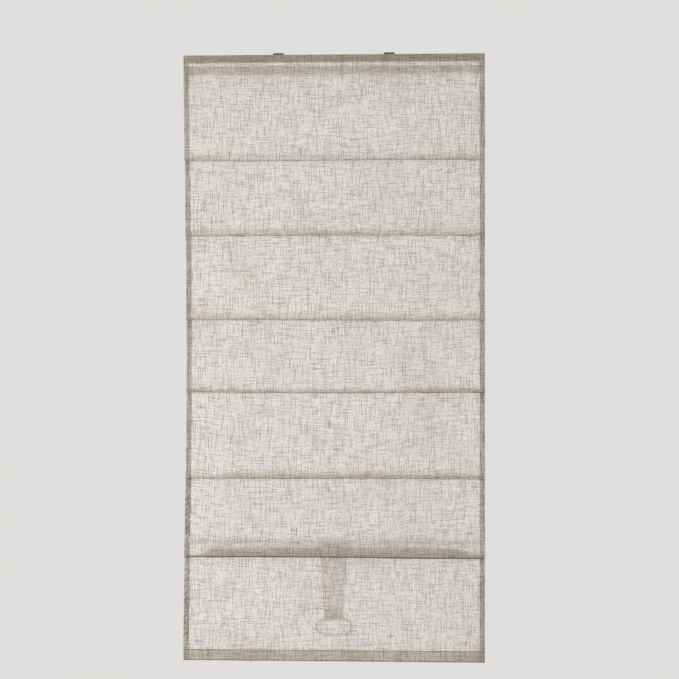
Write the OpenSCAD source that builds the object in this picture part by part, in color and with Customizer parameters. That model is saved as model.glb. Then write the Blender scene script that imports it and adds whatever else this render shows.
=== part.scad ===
/* [Blind] */
// Finished width of the cloth
blind_w = 808; // [640:1:1200]
// Gap from the soffit down to the top of the rail
head_gap = 6; // [5:0.5:9]

/* [Panels] */
// Height of the cloth down to the first fold
top_panel_h = 282; // [200:1:360]
// Height from the first fold to the second
panel_2_h = 201; // [150:1:300]
// Height from the second fold to the third
panel_3_h = 226; // [150:1:300]
// Height from the third fold to the fourth
panel_4_h = 197; // [150:1:300]
// Height from the fourth fold to the fifth
panel_5_h = 229; // [150:1:300]
// Height from the fifth fold to the lowest one
panel_6_h = 214; // [150:1:300]
// Height of the flat skirt below the lowest fold
skirt_h = 277; // [250:1:380]

/* [Cloth] */
// Thickness of the woven cloth
cloth_t = 0.8; // [0.5:0.1:1]
// Width of the turned side hems
side_hem_w = 14; // [10:1:24]
// Height of the hem that holds the bottom bar
bottom_hem_h = 27; // [26:1:40]
// How far a soft fold hangs below its seam
fold_droop = 5; // [4:0.5:20]
// How far a soft fold stands forward
fold_bulge = 9; // [8:0.5:14]
// How far the lowest fold hangs below its seam
low_fold_droop = 45; // [30:1:60]
// How far the lowest fold stands forward
low_fold_bulge = 18; // [12:0.5:26]
// Room between the two layers at a seam
layer_gap = 3; // [2.6:0.1:4]
// Height of the doubled band of cloth below the rail
head_band_h = 25; // [15:1:40]
// Gap from the rail down to that band
head_band_gap = 6; // [3:0.5:15]

/* [Head rail] */
// Depth of the rail from front to back
rail_d = 45; // [44:1:56]
// Height of the rail
rail_h = 22; // [22:1:30]
// Wall of the rail
rail_t = 1.2; // [1:0.1:1.6]
// Width of the lips along the rail's open top
rail_lip = 6; // [5:0.5:7]
// Height of the hook and loop tape
tape_h = 18; // [14:1:20]
// Thickness of the hook tape
hook_t = 1; // [0.8:0.1:1.4]
// Thickness of the loop tape
loop_t = 0.8; // [0.6:0.1:1.2]

/* [Brackets] */
// Distance between the two brackets
bracket_span = 298; // [200:1:340]
// Width of a bracket along the rail
bracket_w = 28; // [24:1:36]
// Thickness of the bracket and its latch
bracket_t = 1.5; // [1.2:0.1:1.8]
// Distance between the two screw holes of a bracket
screw_row = 16; // [14:0.5:18]
// Diameter of a screw hole
screw_hole_d = 4.5; // [3.5:0.1:5]

/* [Lift] */
// Distance of each lift cord from the edge of the cloth
cord_inset = 154; // [124:1:189]
// Diameter of a lift cord
cord_d = 1.2; // [0.9:0.1:1.4]
// Distance from a rod to the cord behind it
eyelet_reach = 6.8; // [6.6:0.1:8]
// Diameter of the lift shaft
shaft_d = 6; // [5:0.1:6.4]
// Diameter of the spool that winds the cord
spool_d = 11.4; // [10:0.1:11.6]
// Length of the wound part of the spool
spool_len = 40; // [34:1:44]

/* [Rods] */
// Diameter of the rods in the fold pockets
rod_d = 4; // [3:0.1:5]
// Diameter of the lift bar in the lowest pocket
bar_d = 6; // [5:0.1:8]
// Room around a rod or bar inside its pocket
pocket_slack = 1.1; // [1:0.1:1.6]
// Thickness of the flat bottom bar
bottom_bar_t = 3; // [2:0.1:4]
// Height of the flat bottom bar
bottom_bar_h = 21; // [16:1:22]

/* [Pull handle] */
// Length of the pull tab from the lift bar to the ring
tab_len = 206; // [150:1:210]
// Width of the pull tab at the lift bar
tab_top_w = 76; // [60:1:100]
// Width of the pull tab at the ring
tab_end_w = 51; // [40:1:51]
// Height of the turned and stitched end of the tab
tab_band_h = 31; // [20:1:40]
// Width of the pull ring
ring_w = 100; // [100:1:120]
// Height of the pull ring
ring_h = 49; // [40:1:49]
// Thickness of the round wire of the ring
ring_wire_d = 7; // [5:0.1:7]

/* [Hidden] */
$fn = 64;

// Fits: running parts, drop-in parts and parts that only pass each other
run_fit = 0.05;
drop_fit = 0.1;
pass_gap = 0.3;
// Extra length of a cutting tool beyond what it cuts
cut = 1;

// Rail
rail_top = -head_gap;
rail_bottom = rail_top - rail_h;
rail_floor = rail_bottom + rail_t;
rail_front = -rail_d / 2;
end_plate_t = 2;
end_plug = 8;
end_recess = 2;
rail_len = blind_w - 2 * (end_plate_t + end_recess);
lip_edge = rail_d / 2 - rail_lip;

// Cloth, measured at the middle of its thickness
hook_front = rail_front - hook_t;
cloth_y = hook_front - loop_t - cloth_t / 2;
seam_rise = 5;
seam_fall = 2;
fold_z_1 = rail_top - top_panel_h;
fold_z_2 = fold_z_1 - panel_2_h;
fold_z_3 = fold_z_2 - panel_3_h;
fold_z_4 = fold_z_3 - panel_4_h;
fold_z_5 = fold_z_4 - panel_5_h;
fold_z_6 = fold_z_5 - panel_6_h;
cloth_bottom = fold_z_6 - skirt_h;
fold_z = [fold_z_1, fold_z_2, fold_z_3, fold_z_4, fold_z_5, fold_z_6];
droop = [for (k = [0:5]) k < 5 ? fold_droop : low_fold_droop];
bulge = [for (k = [0:5]) k < 5 ? fold_bulge : low_fold_bulge];
rod_z = [for (k = [0:5]) fold_z[k] + droop[k]];
bar_z = rod_z[5];
flat_half = blind_w / 2 - side_hem_w;
stick_gap = 2;
stick_half = flat_half - stick_gap;
hem_slack = 0.5;
hem_turn_r = (bottom_bar_t + cloth_t) / 2 + hem_slack;
hem_round_z = cloth_bottom + cloth_t / 2 + hem_turn_r;
hem_seam_t = 1.2;
// Straight steps along a fall, a fold's round, a seam's turn and the hem's turn
fall_steps = 12;
round_steps = 9;
turn_steps = 6;
hem_steps = 8;
round_start = 200;

// Rods, bar and their pockets
pocket_r = rod_d / 2 + pocket_slack + cloth_t;
bar_pocket_r = bar_d / 2 + pocket_slack + cloth_t;
rod_y = cloth_y + pocket_r;
bar_y = cloth_y + bar_pocket_r;
tip_len = 10;
tip_wall = 2;
clip_w = 8;
clip_window = 12;
clip_clear = pass_gap + cloth_t / 2;

// Cords and spools
cord_x = blind_w / 2 - cord_inset;
cord_y = rod_y + eyelet_reach;
cord_r = cord_d / 2;
wind_r = spool_d / 2 + pass_gap + cord_r;
shaft_y = cord_y + wind_r;
shaft_z = (rail_top + rail_bottom) / 2;
shaft_r = shaft_d / 2;
shaft_flat = 0.8;
flange_r = 8.5;
flange_t = 2;
journal_r = 4.5;
journal_len = 6;
cradle_t = 3;
cradle_gap = 0.5;
base_t = 0.8;
spool_half = spool_len / 2 + flange_t;
journal_half = spool_half + journal_len;
cradle_half = spool_half + cradle_gap + cradle_t;
shaft_half = cord_x + journal_half;
grommet_r = 3.2;
grommet_rim = 2;
grommet_room = 1;
cradle_rise = 2;
eyelet_r = 4;
eyelet_h = 4;
eyelet_hole_r = 2.2;
anchor_r = 3;
anchor_h = 6;

// Spring motor
drum_half = 25;
drum_r = 6;
drum_flange_r = 8.2;
drum_flange_t = 1.5;
spring_half = 21;
spring_t = 0.4;
coil_r = 8;
store_r = 4.5;
axle_r = 2;
drum_gap = 0.8;
store_y = shaft_y + drum_flange_r + drum_gap + coil_r;
frame_plate_t = 2;
plate_gap = 1.5;
frame_half = drum_half + plate_gap + frame_plate_t;
frame_margin = 1.4;
frame_front = shaft_y - drum_flange_r - frame_margin;
frame_back = store_y + coil_r + frame_margin;
cover_gap = 0.4;
frame_top = shaft_z + coil_r + cover_gap;
cover_t = 1;
cover_side_h = 6;

// Brackets
bracket_x = bracket_span / 2;
lip_gap = 1;
leg_y = lip_edge - lip_gap;
foot_reach = 4.5;
foot_y = leg_y + foot_reach;
hook_top = rail_top - rail_t - pass_gap;
latch_w = 10;
rivet_r = 2;
rivet_shoulder_r = 3.5;
rivet_head_t = 1.2;
latch_gap = 0.1;

// Pull handle
wire_r = ring_wire_d / 2;
tab_t = 2 * cloth_t;
tab_front = bar_y - bar_d / 2 - drop_fit - cloth_t;
loop_r = wire_r + drop_fit + cloth_t;
ring_y = tab_front + loop_r;
ring_z = bar_z - tab_len;
ring_bend_r = ring_h / 2 - wire_r;
ring_straight = ring_w - ring_h;
tab_room = 2;

// Points of an arc in the plane of the cloth's section
function arc(centre, r, a0, a1, n) =
    [for (i = [0:n]) centre + r * [cos(a0 + (a1 - a0) * i / n), sin(a0 + (a1 - a0) * i / n)]];

// Soft start and soft end between 0 and 1
function ease(s) = s * s * (3 - 2 * s);

// Height of the middle of a fold's round
function round_z(k) = fold_z[k] + cloth_t / 2 + (bulge[k] - layer_gap) / 2;

// Height where a panel starts to fall, below the rail or below the seam above it
function fall_z(k) = k == 0 ? rail_bottom - seam_fall : rod_z[k - 1] + seam_rise - seam_fall;

// Share of a panel's fall at a height
function fall_share(k, z) = (fall_z(k) - z) / (fall_z(k) - round_z(k));

// The fall of a panel between two shares of it
function fall_path(k, from, to) =
    [for (i = [0:fall_steps])
        let (s = from + (to - from) * i / fall_steps)
        [cloth_y - bulge[k] * ease(s), fall_z(k) + (round_z(k) - fall_z(k)) * s]];

// The round of a fold, the way up behind it and the turn over its seam
function fold_path(k) =
    let (r = (bulge[k] - layer_gap) / 2)
    concat(
        arc([cloth_y - bulge[k] + r, round_z(k)], r, round_start, 360, round_steps),
        arc([cloth_y - layer_gap / 2, rod_z[k] + seam_rise], layer_gap / 2, 180, 0, turn_steps)
    );

// Middle line of the shade from the rail down to the height of the lift bar
function shade_path(k = 0) =
    k == 0 ? concat([[cloth_y, rail_top]], fall_path(0, 0, 1), fold_path(0), shade_path(1))
    : k < 5 ? concat(fall_path(k, 0, 1), fold_path(k), shade_path(k + 1))
    : fall_path(5, 0, fall_share(5, bar_z + pass_gap));

// Middle line of the skirt from there, round the lowest fold, over its seam and down to the turned hem
function skirt_path() =
    concat(
        fall_path(5, fall_share(5, bar_z), 1),
        fold_path(5),
        arc([cloth_y + hem_turn_r, hem_round_z], hem_turn_r, 180, 360, hem_steps),
        [[cloth_y + 2 * hem_turn_r, cloth_bottom + bottom_hem_h]]
    );

// Line at a distance beside a path
function beside(path, d) =
    [for (i = [0:len(path) - 1])
        let (way = path[min(i + 1, len(path) - 1)] - path[max(i - 1, 0)])
        path[i] + d / norm(way) * [-way[1], way[0]]];

function backwards(list) = [for (i = [len(list) - 1:-1:0]) list[i]];

// Section of a cloth along a path, with its extra layers on the reverse side
module cloth_section(path, layers) {
    polygon(concat(beside(path, -cloth_t / 2), backwards(beside(path, (layers - 0.5) * cloth_t))));
}

// Turns a section in y and z into a bar along x
module along_x(x0, x1) {
    translate([x0, 0, 0])
        rotate([90, 0, 90])
            linear_extrude(height = x1 - x0)
                children();
}

// Round bar along x
module bar_x(x0, x1, y, z, r) {
    translate([x0, y, z])
        rotate([0, 90, 0])
            cylinder(h = x1 - x0, r = r);
}

// Shaft with one flat, along x
module flat_shaft(x0, x1, grow) {
    along_x(x0, x1)
        translate([shaft_y, shaft_z])
            intersection() {
                circle(r = shaft_r + grow);
                translate([-shaft_d, -shaft_d])
                    square([2 * shaft_d, shaft_d + shaft_r - shaft_flat + grow]);
            }
}

// Cloth with doubled side hems
module hemmed_cloth(path) {
    along_x(-flat_half, flat_half) cloth_section(path, 1);
    along_x(-blind_w / 2, -flat_half) cloth_section(path, 2);
    along_x(flat_half, blind_w / 2) cloth_section(path, 2);
}

// Stretches of a pocket tube between the given ends
module pocket(ends, y, z, r) {
    for (e = ends)
        along_x(e[0], e[1])
            translate([y, z])
                difference() {
                    circle(r = r);
                    circle(r = r - cloth_t);
                }
}

module head_rail() {
    color("#e9e7e2")
        difference() {
            along_x(-rail_len / 2, rail_len / 2)
                difference() {
                    translate([rail_front, rail_bottom])
                        square([rail_d, rail_h]);
                    translate([rail_front + rail_t, rail_floor])
                        square([rail_d - 2 * rail_t, rail_h - 2 * rail_t]);
                    translate([-lip_edge, rail_floor])
                        square([2 * lip_edge, rail_h]);
                }
            for (side = [-1, 1])
                translate([side * cord_x, cord_y, rail_bottom - cut])
                    cylinder(h = rail_t + 2 * cut, r = grommet_r);
        }
}

module end_cap(side) {
    color("#dcdad4")
        mirror([side < 0 ? 1 : 0, 0, 0]) {
            along_x(rail_len / 2, rail_len / 2 + end_plate_t)
                translate([rail_front, rail_bottom])
                    square([rail_d, rail_h]);
            along_x(rail_len / 2 - end_plug, rail_len / 2)
                difference() {
                    translate([rail_front + rail_t + drop_fit, rail_floor + drop_fit])
                        square([rail_d - 2 * rail_t - 2 * drop_fit, rail_h - 2 * rail_t - 2 * drop_fit]);
                    translate([rail_front + 2 * rail_t + drop_fit, rail_floor + rail_t + drop_fit])
                        square([rail_d - 4 * rail_t - 2 * drop_fit, rail_h]);
                }
        }
}

// Section of the bracket: top plate, two legs, feet on the lips and a hook under the front lip
module bracket_section() {
    translate([-leg_y, -bracket_t])
        square([2 * leg_y, bracket_t]);
    for (side = [0, 1])
        mirror([side, 0]) {
            translate([leg_y - bracket_t, rail_top])
                square([bracket_t, head_gap]);
            translate([leg_y - bracket_t, rail_top])
                square([foot_y - leg_y + bracket_t, bracket_t]);
        }
    translate([-leg_y, hook_top - bracket_t])
        square([bracket_t, bracket_t - hook_top - cut]);
    translate([-foot_y, hook_top - bracket_t])
        square([foot_y - leg_y + bracket_t, bracket_t]);
}

module bracket(side) {
    color("#6f7173")
        difference() {
            along_x(side * bracket_x - bracket_w / 2, side * bracket_x + bracket_w / 2)
                bracket_section();
            for (row = [-1, 1])
                translate([side * bracket_x, row * screw_row / 2, -bracket_t - cut])
                    cylinder(h = bracket_t + 2 * cut, d = screw_hole_d);
            translate([side * bracket_x, 0, -bracket_t - cut])
                cylinder(h = bracket_t + 2 * cut, r = rivet_r + run_fit);
        }
}

// Flat lever with a round tip that reaches under the rear lip
module latch(side) {
    color("#66686a")
        translate([side * bracket_x, 0, hook_top - bracket_t])
            linear_extrude(height = bracket_t)
                difference() {
                    union() {
                        circle(d = latch_w);
                        translate([-latch_w / 2, 0])
                            square([latch_w, foot_y - latch_w / 2]);
                        translate([0, foot_y - latch_w / 2])
                            circle(d = latch_w);
                    }
                    circle(r = rivet_r + run_fit);
                }
}

module rivet(side) {
    color("#5c5e60")
        translate([side * bracket_x, 0, 0]) {
            translate([0, 0, hook_top - bracket_t - rivet_head_t])
                cylinder(h = rivet_head_t + bracket_t - hook_top - pass_gap, r = rivet_r);
            translate([0, 0, hook_top + latch_gap])
                cylinder(h = -bracket_t - hook_top - latch_gap, r = rivet_shoulder_r);
            translate([0, 0, hook_top - bracket_t - latch_gap - rivet_head_t])
                cylinder(h = rivet_head_t, r = rivet_shoulder_r);
        }
}

module hook_tape() {
    color("#5c5751")
        along_x(-stick_half, stick_half)
            translate([hook_front, (rail_top + rail_bottom - tape_h) / 2])
                square([hook_t, tape_h]);
}

module loop_tape() {
    color("#67625c")
        along_x(-stick_half, stick_half)
            translate([hook_front - loop_t, (rail_top + rail_bottom - tape_h) / 2])
                square([loop_t, tape_h]);
}

module motor_frame() {
    color("#e4e4e2")
        difference() {
            union() {
                along_x(-frame_half, frame_half)
                    translate([frame_front, rail_floor])
                        square([frame_back - frame_front, base_t]);
                for (side = [-1, 1])
                    mirror([side < 0 ? 1 : 0, 0, 0])
                        along_x(frame_half - frame_plate_t, frame_half)
                            translate([frame_front, rail_floor])
                                square([frame_back - frame_front, frame_top - rail_floor]);
            }
            bar_x(-frame_half - cut, frame_half + cut, shaft_y, shaft_z, shaft_r + run_fit);
            bar_x(-frame_half - cut, frame_half + cut, store_y, shaft_z, axle_r + run_fit);
        }
}

module motor_cover() {
    color("#ededeb")
        along_x(-frame_half - drop_fit - cover_t, frame_half + drop_fit + cover_t)
            translate([frame_front, frame_top])
                square([frame_back - frame_front, cover_t]);
    color("#ededeb")
        for (side = [-1, 1])
            mirror([side < 0 ? 1 : 0, 0, 0])
                along_x(frame_half + drop_fit, frame_half + drop_fit + cover_t)
                    translate([frame_front, frame_top - cover_side_h])
                        difference() {
                            square([frame_back - frame_front, cover_side_h + cover_t / 2]);
                            translate([shaft_y - frame_front, shaft_z - frame_top + cover_side_h])
                                circle(r = shaft_r + 2 * pass_gap);
                            translate([store_y - frame_front, shaft_z - frame_top + cover_side_h])
                                circle(r = axle_r + 2 * pass_gap);
                        }
}

module output_drum() {
    color("#f0efea")
        difference() {
            union() {
                bar_x(-drum_half, drum_half, shaft_y, shaft_z, drum_r);
                bar_x(-drum_half, drum_flange_t - drum_half, shaft_y, shaft_z, drum_flange_r);
                bar_x(drum_half - drum_flange_t, drum_half, shaft_y, shaft_z, drum_flange_r);
            }
            flat_shaft(-drum_half - cut, drum_half + cut, run_fit);
        }
}

module storage_drum() {
    color("#f0efea") {
        bar_x(-drum_half, drum_half, store_y, shaft_z, store_r);
        bar_x(-frame_half, frame_half, store_y, shaft_z, axle_r);
    }
}

// Coiled band on the storage drum, its run across and its turn on the output drum
module drive_spring() {
    band_r = drum_r + pass_gap + spring_t / 2;
    lean = acos((coil_r - spring_t / 2 + band_r) / (store_y - shaft_y));
    run_up = [cos(lean), sin(lean)];
    color("#8e9194")
        along_x(-spring_half, spring_half) {
            translate([store_y, shaft_z])
                difference() {
                    circle(r = coil_r);
                    circle(r = store_r + pass_gap);
                }
            translate([shaft_y, shaft_z])
                difference() {
                    circle(r = band_r + spring_t / 2);
                    circle(r = band_r - spring_t / 2);
                }
            polygon([
                [shaft_y, shaft_z] + (band_r + spring_t / 2) * run_up,
                [shaft_y, shaft_z] + (band_r - spring_t / 2) * run_up,
                [store_y, shaft_z] - coil_r * run_up,
                [store_y, shaft_z] - (coil_r - spring_t) * run_up
            ]);
        }
}

module lift_shaft() {
    color("#b4b8bb") flat_shaft(-shaft_half, shaft_half, 0);
}

module spool(side) {
    x = side * cord_x;
    color("#f2f1ec")
        difference() {
            union() {
                bar_x(x - journal_half, x + journal_half, shaft_y, shaft_z, journal_r);
                bar_x(x - spool_half, x + spool_half, shaft_y, shaft_z, spool_d / 2);
                bar_x(x - spool_half, x - spool_half + flange_t, shaft_y, shaft_z, flange_r);
                bar_x(x + spool_half - flange_t, x + spool_half, shaft_y, shaft_z, flange_r);
            }
            flat_shaft(x - journal_half - cut, x + journal_half + cut, run_fit);
        }
}

module spool_cradle(side) {
    x = side * cord_x;
    color("#dfe0de")
        difference() {
            union() {
                along_x(x - cradle_half, x + cradle_half)
                    translate([shaft_y - flange_r, rail_floor])
                        square([2 * flange_r, base_t]);
                for (wall = [x - cradle_half, x + cradle_half - cradle_t])
                    along_x(wall, wall + cradle_t)
                        translate([shaft_y - flange_r, rail_floor])
                            square([2 * flange_r, shaft_z - rail_floor + journal_r + cradle_rise]);
            }
            bar_x(x - cradle_half - cut, x + cradle_half + cut, shaft_y, shaft_z, journal_r + run_fit);
            translate([x, cord_y, rail_floor - cut])
                cylinder(h = base_t + 2 * cut, r = grommet_r + grommet_room);
        }
}

module cord_grommet(side) {
    color("#f4f3ef")
        translate([side * cord_x, cord_y, 0])
            difference() {
                union() {
                    translate([0, 0, rail_bottom - rail_t])
                        cylinder(h = 2 * rail_t + base_t / 2, r = grommet_r - drop_fit);
                    translate([0, 0, rail_bottom - rail_t])
                        cylinder(h = rail_t, r = grommet_r + grommet_rim);
                }
                translate([0, 0, rail_bottom - rail_t - cut])
                    cylinder(h = 4 * rail_t + 2 * cut, r = eyelet_hole_r - pass_gap);
            }
}

// Last turns of the cord, which stay wound on the spool
module cord_turns(side) {
    color("#f7f6f2")
        for (turn = [1:3])
            translate([side * (cord_x + turn * (cord_d + pass_gap)), shaft_y, shaft_z])
                rotate([0, 90, 0])
                    rotate_extrude()
                        translate([wind_r, 0])
                            circle(r = cord_r, $fn = 24);
}

module lift_cord(side) {
    color("#f7f6f2")
        translate([side * cord_x, cord_y, bar_z])
            cylinder(h = shaft_z - bar_z, r = cord_r, $fn = 24);
}

module shade_cloth() {
    color("#d3cec8") {
        hemmed_cloth(shade_path());
        along_x(-flat_half, flat_half)
            translate([cloth_y, rail_bottom - head_band_gap - head_band_h])
                square([1.5 * cloth_t, head_band_h]);
        for (k = [0:4])
            pocket(
                [
                    [-flat_half, -cord_x - clip_window / 2],
                    [-cord_x + clip_window / 2, cord_x - clip_window / 2],
                    [cord_x + clip_window / 2, flat_half]
                ],
                rod_y, rod_z[k], pocket_r
            );
    }
}

module skirt_cloth() {
    tab_window = tab_top_w / 2 + tab_room;
    color("#d6d1cb") {
        hemmed_cloth(skirt_path());
        pocket(
            [
                [-flat_half, -cord_x - clip_window / 2],
                [-cord_x + clip_window / 2, -tab_window],
                [tab_window, cord_x - clip_window / 2],
                [cord_x + clip_window / 2, flat_half]
            ],
            bar_y, bar_z, bar_pocket_r
        );
        along_x(-flat_half, flat_half)
            translate([cloth_y, cloth_bottom + bottom_hem_h - hem_seam_t])
                square([2 * hem_turn_r, hem_seam_t]);
    }
}

module rod(k) {
    color("#eceae4") bar_x(tip_wall - stick_half, stick_half - tip_wall, rod_y, rod_z[k], rod_d / 2);
}

// Caps on the two ends of a rod
module end_tips(y, z, r, r_out) {
    for (side = [0, 1])
        mirror([side, 0, 0])
            difference() {
                bar_x(stick_half - tip_len, stick_half, y, z, r_out);
                bar_x(stick_half - tip_len - cut, stick_half - tip_wall, y, z, r + run_fit);
            }
}

module rod_tips(k) {
    color("#f5f4f0") end_tips(rod_y, rod_z[k], rod_d / 2, pocket_r - cloth_t - pass_gap);
}

// Clips on a rod, each with an eye for the lift cord behind it
module cord_eyelets(k) {
    color("#f1efe9")
        for (side = [-1, 1])
            difference() {
                union() {
                    bar_x(side * cord_x - clip_w / 2, side * cord_x + clip_w / 2, rod_y, rod_z[k],
                          pocket_r - clip_clear);
                    translate([side * cord_x, cord_y, rod_z[k] - eyelet_h / 2])
                        cylinder(h = eyelet_h, r = eyelet_r);
                }
                bar_x(side * cord_x - clip_w, side * cord_x + clip_w, rod_y, rod_z[k], rod_d / 2 + run_fit);
                translate([side * cord_x, cord_y, rod_z[k] - eyelet_h])
                    cylinder(h = 2 * eyelet_h, r = eyelet_hole_r);
            }
}

module lift_bar() {
    color("#a7abae") bar_x(tip_wall - stick_half, stick_half - tip_wall, bar_y, bar_z, bar_d / 2);
}

module lift_bar_tips() {
    color("#f5f4f0") end_tips(bar_y, bar_z, bar_d / 2, bar_pocket_r - cloth_t - pass_gap);
}

// Clips on the lift bar that hold the ends of the lift cords
module cord_anchors() {
    color("#f1efe9")
        for (side = [-1, 1])
            difference() {
                union() {
                    bar_x(side * cord_x - clip_w / 2, side * cord_x + clip_w / 2, bar_y, bar_z,
                          bar_pocket_r - clip_clear);
                    translate([side * cord_x, cord_y, bar_z - eyelet_h])
                        cylinder(h = anchor_h, r = anchor_r);
                }
                bar_x(side * cord_x - clip_w, side * cord_x + clip_w, bar_y, bar_z, bar_d / 2 + run_fit);
                translate([side * cord_x, cord_y, bar_z])
                    cylinder(h = eyelet_h, r = cord_r + pass_gap);
            }
}

module bottom_bar() {
    color("#eceae4")
        along_x(-stick_half, stick_half)
            translate([cloth_y + hem_turn_r - bottom_bar_t / 2, hem_round_z])
                square([bottom_bar_t, bottom_bar_h]);
}

// Section of the tab: loop on the bar, double strip, turned end and loop on the ring
module tab_section() {
    translate([bar_y, bar_z])
        difference() {
            circle(r = bar_d / 2 + drop_fit + cloth_t);
            circle(r = bar_d / 2 + drop_fit);
        }
    difference() {
        union() {
            translate([tab_front, ring_z])
                square([tab_t, tab_len]);
            translate([tab_front, ring_z])
                square([2 * tab_t, tab_band_h]);
            translate([ring_y, ring_z])
                circle(r = loop_r);
        }
        translate([bar_y, bar_z])
            circle(r = bar_d / 2 + drop_fit);
        translate([ring_y, ring_z])
            circle(r = wire_r + drop_fit);
    }
}

module pull_tab() {
    top = bar_z + bar_d;
    foot = ring_z - loop_r - cut;
    color("#cfcac3")
        intersection() {
            along_x(-tab_top_w, tab_top_w) tab_section();
            translate([0, ring_y + tab_top_w, 0])
                rotate([90, 0, 0])
                    linear_extrude(height = 2 * tab_top_w)
                        polygon([
                            [-tab_end_w / 2, foot],
                            [tab_end_w / 2, foot],
                            [tab_top_w / 2, top],
                            [-tab_top_w / 2, top]
                        ]);
        }
}

// Oval ring of round wire that hangs from the tab by its top bar
module pull_ring() {
    color("#efede8") {
        for (drop = [0, 2 * ring_bend_r])
            bar_x(-ring_straight / 2, ring_straight / 2, ring_y, ring_z - drop, wire_r);
        for (side = [0, 1])
            mirror([side, 0, 0])
                translate([ring_straight / 2, ring_y, ring_z - ring_bend_r])
                    rotate([90, 0, 0])
                        rotate([0, 0, -90])
                            rotate_extrude(angle = 180)
                                translate([ring_bend_r, 0])
                                    circle(r = wire_r);
    }
}

head_rail();
end_cap(-1);  // end_cap_left
end_cap(1);  // end_cap_right
bracket(-1);  // bracket_left
bracket(1);  // bracket_right
latch(-1);  // latch_left
latch(1);  // latch_right
rivet(-1);  // rivet_left
rivet(1);  // rivet_right
hook_tape();
loop_tape();
motor_frame();
motor_cover();
output_drum();
storage_drum();
drive_spring();
lift_shaft();
spool(-1);  // spool_left
spool(1);  // spool_right
spool_cradle(-1);  // spool_cradle_left
spool_cradle(1);  // spool_cradle_right
cord_grommet(-1);  // cord_grommet_left
cord_grommet(1);  // cord_grommet_right
cord_turns(-1);  // cord_turns_left
cord_turns(1);  // cord_turns_right
lift_cord(-1);  // lift_cord_left
lift_cord(1);  // lift_cord_right
shade_cloth();
skirt_cloth();
for (k = [1:5])
    rod(k - 1);
for (k = [1:5])
    rod_tips(k - 1);
for (k = [1:5])
    cord_eyelets(k - 1);
lift_bar();
lift_bar_tips();
cord_anchors();
bottom_bar();
pull_tab();
pull_ring();
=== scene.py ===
import math

import bmesh
import bpy
from mathutils import Matrix, Vector, noise


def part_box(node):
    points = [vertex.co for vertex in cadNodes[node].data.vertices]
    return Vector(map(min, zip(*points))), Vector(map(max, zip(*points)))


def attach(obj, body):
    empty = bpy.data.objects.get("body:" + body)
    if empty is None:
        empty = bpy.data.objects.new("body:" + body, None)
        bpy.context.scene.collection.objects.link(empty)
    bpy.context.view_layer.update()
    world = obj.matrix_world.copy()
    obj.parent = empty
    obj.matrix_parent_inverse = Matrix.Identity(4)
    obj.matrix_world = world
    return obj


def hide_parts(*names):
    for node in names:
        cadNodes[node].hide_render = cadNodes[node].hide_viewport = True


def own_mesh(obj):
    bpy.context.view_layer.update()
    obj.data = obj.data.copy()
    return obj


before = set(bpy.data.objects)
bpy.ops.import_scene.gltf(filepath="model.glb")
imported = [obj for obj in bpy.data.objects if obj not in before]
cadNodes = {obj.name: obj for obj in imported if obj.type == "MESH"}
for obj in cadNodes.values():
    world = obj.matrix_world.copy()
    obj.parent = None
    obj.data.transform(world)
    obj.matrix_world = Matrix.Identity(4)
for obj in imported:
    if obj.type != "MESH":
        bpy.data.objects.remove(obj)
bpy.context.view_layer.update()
mm = 0.001

# camera first: level, half way down the blind and a little to its right; metres, degrees, sensor in mm
shot = {"distance": 4.0, "yaw": 2.36, "aim": (0.016, -0.025, -0.7694), "width": 1.817, "sensor": 36.0}


def placeCamera():
    turn = math.radians(shot["yaw"])
    aim = Vector(shot["aim"])
    cam = bpy.data.objects.new("camera", bpy.data.cameras.new("camera"))
    cam.location = aim + shot["distance"] * Vector((math.sin(turn), -math.cos(turn), 0))
    cam.rotation_euler = (aim - cam.location).to_track_quat("-Z", "Y").to_euler()
    cam.data.sensor_width = shot["sensor"]
    cam.data.lens = shot["sensor"] * shot["distance"] / shot["width"]
    bpy.context.collection.objects.link(cam)
    bpy.context.scene.camera = cam


placeCamera()
print("camera placed")


# small tools for materials and meshes

def srgb(hexText):
    parts = [int(hexText[i:i + 2], 16) / 255 for i in (1, 3, 5)]
    return [c / 12.92 if c <= 0.04045 else ((c + 0.055) / 1.055) ** 2.4 for c in parts] + [1.0]


def addNode(tree, kind, inputs=None, **settings):
    made = tree.nodes.new(kind)
    for name, value in settings.items():
        setattr(made, name, value)
    for name, value in (inputs or {}).items():
        if isinstance(value, bpy.types.NodeSocket):
            tree.links.new(value, made.inputs[name])
        else:
            made.inputs[name].default_value = value
    return made


def newMaterial(name):
    material = bpy.data.materials.new(name)
    material.use_nodes = True
    material.node_tree.nodes.clear()
    return material, material.node_tree


def endMaterial(tree, shader):
    addNode(tree, "ShaderNodeOutputMaterial", {"Surface": shader})


def smoothStep(t):
    t = min(max(t, 0.0), 1.0)
    return t * t * (3 - 2 * t)


def alongKeys(keys, x):
    # value at x on a soft line through a few (x, value) keys
    if x <= keys[0][0]:
        return keys[0][1]
    for (x0, v0), (x1, v1) in zip(keys, keys[1:]):
        if x <= x1:
            return v0 + (v1 - v0) * smoothStep((x - x0) / (x1 - x0))
    return keys[-1][1]


def boxMiddle(box, axis):
    # centre of a CAD box along one axis, in mm
    return (getattr(box[0], axis) + getattr(box[1], axis)) / 2 / mm


def boxRadius(box):
    # radius of a level rod or bar, in mm
    return (box[1].z - box[0].z) / 2 / mm


# side views are lists of (y, z) in mm

def straightPoints(start, end, steps, first=1):
    (y0, z0), (y1, z1) = start, end
    return [(y0 + (y1 - y0) * i / steps, z0 + (z1 - z0) * i / steps) for i in range(first, steps + 1)]


def roundPoints(y, z, radius, start, end, steps, first=1):
    # round the middle y, z from one angle to another, in degrees
    angles = [math.radians(start + (end - start) * i / steps) for i in range(first, steps + 1)]
    return [(y + radius * math.cos(a), z + radius * math.sin(a)) for a in angles]


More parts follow.
